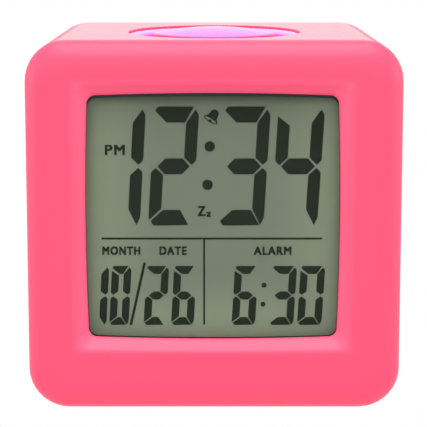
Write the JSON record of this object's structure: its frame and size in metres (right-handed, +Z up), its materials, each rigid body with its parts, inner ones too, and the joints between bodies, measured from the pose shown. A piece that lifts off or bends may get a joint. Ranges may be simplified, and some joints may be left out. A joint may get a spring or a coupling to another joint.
{
  "type": "alarm clock",
  "caption": "Square digital bedside alarm clock in a soft silicone sleeve, with a large display, a domed snooze button, rear keys, sliding switches and a hinged battery door.",
  "frame": {"origin": "middle of the bounding box's base, on the surface that the clock stands on", "axes": "+X to the right seen from the front, the display faces -Y, the battery door faces +Y, +Z up"},
  "size_m": [0.0816, 0.056, 0.0822],
  "materials": {
    "silicone": "soft matt silicone rubber, bright pink",
    "case_plastic": "fine spark-eroded texture, pink ABS",
    "lens": "clear polished acrylic",
    "tape": "black adhesive foam",
    "lcd_glass": "clear glass",
    "lcd_film": "grey-green polarising film",
    "light_guide": "clear acrylic",
    "white_plastic": "white moulded plastic",
    "zebra": "striped conductive rubber",
    "board": "green solder mask on glass fibre",
    "resin": "black resin and nylon",
    "chip_parts": "black ceramic chips",
    "can_metal": "bright tinned steel",
    "capacitor": "dark blue shrink sleeve",
    "led": "pale resin lamp",
    "screws": "zinc-plated steel",
    "dome": "translucent lilac polycarbonate",
    "pad": "grey-white silicone pad",
    "key_plastic": "white moulded ABS",
    "plunger": "red nylon",
    "brass": "rolled brass sheet",
    "ceramic": "silvered ceramic",
    "spring_steel": "nickel-plated steel",
    "cell_can": "nickel-plated steel can",
    "cell_jacket": "plain green printed film",
    "lead": "insulated hook-up wire"
  },
  "bodies": {
    "clock": {"silicone_sleeve": "silicone", "front_case": "case_plastic", "rear_case": "case_plastic", "lens": "lens", "lens_tape": "tape", "buzzer_gasket": "tape", "lcd_front_glass": "lcd_glass", "lcd_rear_glass": "lcd_glass", "lcd_front_film": "lcd_film", "lcd_rear_film": "lcd_film", "light_guide": "light_guide", "reflector_sheet": "white_plastic", "lcd_frame": "white_plastic", "snooze_bracket": "white_plastic", "connectors": "white_plastic", "zebra_strip": "zebra", "main_board": "board", "snooze_board": "board", "key_board": "board", "chip_blob": "resin", "tact_switches": "resin", "chip_parts": "chip_parts", "crystal_can": "can_metal", "slide_switches": "can_metal", "capacitors": "capacitor", "backlight_leds": "led", "snooze_leds": "led", "board_screws": "screws", "case_screws": "screws", "snooze_screws": "screws", "key_board_screws": "screws", "snooze_ring": "dome", "snooze_pad": "pad", "buzzer_disc": "brass", "buzzer_ceramic": "ceramic", "battery_springs": "spring_steel", "contact_plates": "spring_steel", "aaa_cell_1": "cell_can", "aaa_cell_2": "cell_can", "cell_jackets": "cell_jacket", "battery_wires": "lead", "buzzer_wires": "lead", "snooze_cable": "lead", "key_ribbon": "lead"},
    "snooze": {"snooze_button": "dome"},
    "time_press": {"time_key": "key_plastic", "time_plunger": "plunger"},
    "alarm_press": {"alarm_key": "key_plastic", "alarm_plunger": "plunger"},
    "up_press": {"up_key": "key_plastic", "up_plunger": "plunger"},
    "down_press": {"down_key": "key_plastic", "down_plunger": "plunger"},
    "alarm_switch": {"alarm_slider": "key_plastic", "alarm_lever": "resin"},
    "hour_switch": {"hour_slider": "key_plastic", "hour_lever": "resin"},
    "door": {"battery_door": "case_plastic", "door_latch": "case_plastic"}
  },
  "joints": [
    {"name": "snooze_press", "type": "slide", "parent": "clock", "child": "snooze", "axis": [0, 0, -1], "range_m": [0, 0.001], "stiffness_N_per_m": 600, "springref_m": -0.001, "deforming": ["snooze_pad"]},
    {"name": "time_key_press", "type": "slide", "parent": "clock", "child": "time_press", "axis": [0, -1, 0], "range_m": [0, 0.0005], "stiffness_N_per_m": 1500, "springref_m": -0.0005},
    {"name": "alarm_key_press", "type": "slide", "parent": "clock", "child": "alarm_press", "axis": [0, -1, 0], "range_m": [0, 0.0005], "stiffness_N_per_m": 1500, "springref_m": -0.0005},
    {"name": "up_key_press", "type": "slide", "parent": "clock", "child": "up_press", "axis": [0, -1, 0], "range_m": [0, 0.0005], "stiffness_N_per_m": 1500, "springref_m": -0.0005},
    {"name": "down_key_press", "type": "slide", "parent": "clock", "child": "down_press", "axis": [0, -1, 0], "range_m": [0, 0.0005], "stiffness_N_per_m": 1500, "springref_m": -0.0005},
    {"name": "alarm_switch_slide", "type": "slide", "parent": "clock", "child": "alarm_switch", "axis": [1, 0, 0], "range_m": [0, 0.0026]},
    {"name": "hour_switch_slide", "type": "slide", "parent": "clock", "child": "hour_switch", "axis": [1, 0, 0], "range_m": [0, 0.0026]},
    {"name": "door_hinge", "type": "hinge", "parent": "clock", "child": "door", "pos_m": [0, 0.0255, 0.0108], "axis": [-1, 0, 0], "range_deg": [0, 60], "deforming": ["door_latch"]}
  ]
}
